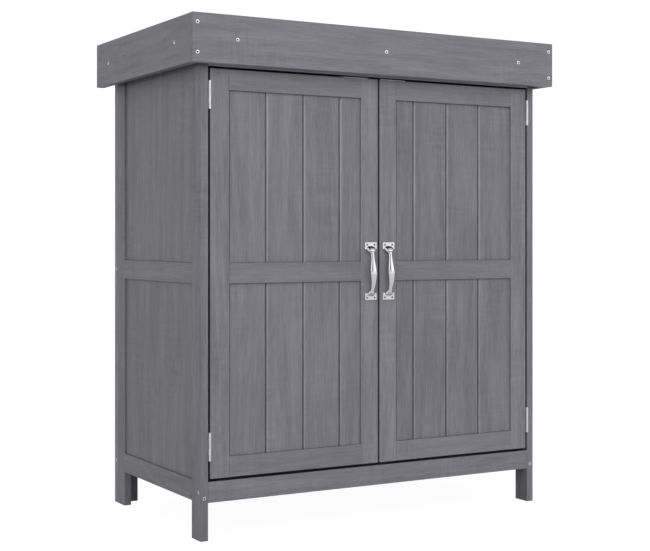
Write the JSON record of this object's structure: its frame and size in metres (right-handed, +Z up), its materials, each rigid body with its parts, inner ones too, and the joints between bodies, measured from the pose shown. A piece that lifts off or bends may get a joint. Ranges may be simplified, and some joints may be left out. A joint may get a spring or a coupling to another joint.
{
  "type": "garden storage cabinet",
  "caption": "Stained wooden garden cupboard on four legs, with two hinged framed doors, a slatted shelf inside and a flat roof edged by a deep fascia.",
  "frame": {"origin": "on the ground, below the middle of the roof, which is the bottom centre of the whole part", "axes": "+Z up, doors face -Y, +X to the right of someone who faces the doors"},
  "size_m": [0.754, 0.452, 0.88],
  "materials": {
    "grey_timber": "grey-stained softwood, matt",
    "bare_timber": "grey-stained softwood of the hidden battens, floor and shelf, matt",
    "roofing_felt": "mineral-faced bitumen felt, rough",
    "zinc_plate": "bright zinc plate",
    "cast_silver": "polished nickel plate on a casting",
    "catch_plastic": "moulded off-white plastic with steel poles",
    "screw_steel": "zinc-plated cross-head screws"
  },
  "bodies": {
    "cabinet": {"left_rear_leg": "grey_timber", "left_front_leg": "grey_timber", "left_side_bottom_rail": "grey_timber", "left_side_mid_rail": "grey_timber", "left_side_top_rail": "grey_timber", "left_side_lower_panel": "grey_timber", "left_side_upper_panel": "grey_timber", "right_rear_leg": "grey_timber", "right_front_leg": "grey_timber", "right_side_bottom_rail": "grey_timber", "right_side_mid_rail": "grey_timber", "right_side_top_rail": "grey_timber", "right_side_lower_panel": "grey_timber", "right_side_upper_panel": "grey_timber", "back_left_stile": "grey_timber", "back_right_stile": "grey_timber", "back_bottom_rail": "grey_timber", "back_mid_rail": "grey_timber", "back_top_rail": "grey_timber", "back_lower_boards": "grey_timber", "back_upper_boards": "grey_timber", "front_bottom_rail": "grey_timber", "front_top_rail": "grey_timber", "catch_batten": "bare_timber", "floor_boards": "bare_timber", "shelf_boards": "bare_timber", "floor_cleats": "bare_timber", "shelf_cleats": "bare_timber", "roof_front_fascia": "grey_timber", "roof_left_fascia": "grey_timber", "roof_right_fascia": "grey_timber", "roof_deck_boards": "grey_timber", "roof_felt": "roofing_felt", "roof_bearers": "bare_timber", "roof_screws": "screw_steel", "fixed_hinge_leaves": "zinc_plate", "hinge_pins": "zinc_plate", "magnet_catches": "catch_plastic", "body_screws": "screw_steel"},
    "left_door": {"left_door_hinge_stile": "grey_timber", "left_door_meeting_stile": "grey_timber", "left_door_bottom_rail": "grey_timber", "left_door_mid_rail": "grey_timber", "left_door_top_rail": "grey_timber", "left_door_boards": "grey_timber", "left_handle": "cast_silver", "left_door_hinge_leaves": "zinc_plate", "left_strike_plate": "zinc_plate", "left_door_screws": "screw_steel"},
    "right_door": {"right_door_hinge_stile": "grey_timber", "right_door_meeting_stile": "grey_timber", "right_door_bottom_rail": "grey_timber", "right_door_mid_rail": "grey_timber", "right_door_top_rail": "grey_timber", "right_door_boards": "grey_timber", "right_handle": "cast_silver", "right_door_hinge_leaves": "zinc_plate", "right_strike_plate": "zinc_plate", "right_door_screws": "screw_steel"}
  },
  "joints": [
    {"name": "left_door_swing", "type": "hinge", "parent": "cabinet", "child": "left_door", "pos_m": [-0.335, -0.2019, 0.45235], "axis": [0, 0, -1], "range_deg": [0, 180]},
    {"name": "right_door_swing", "type": "hinge", "parent": "cabinet", "child": "right_door", "pos_m": [0.335, -0.2019, 0.45235], "axis": [0, 0, 1], "range_deg": [0, 180]}
  ]
}
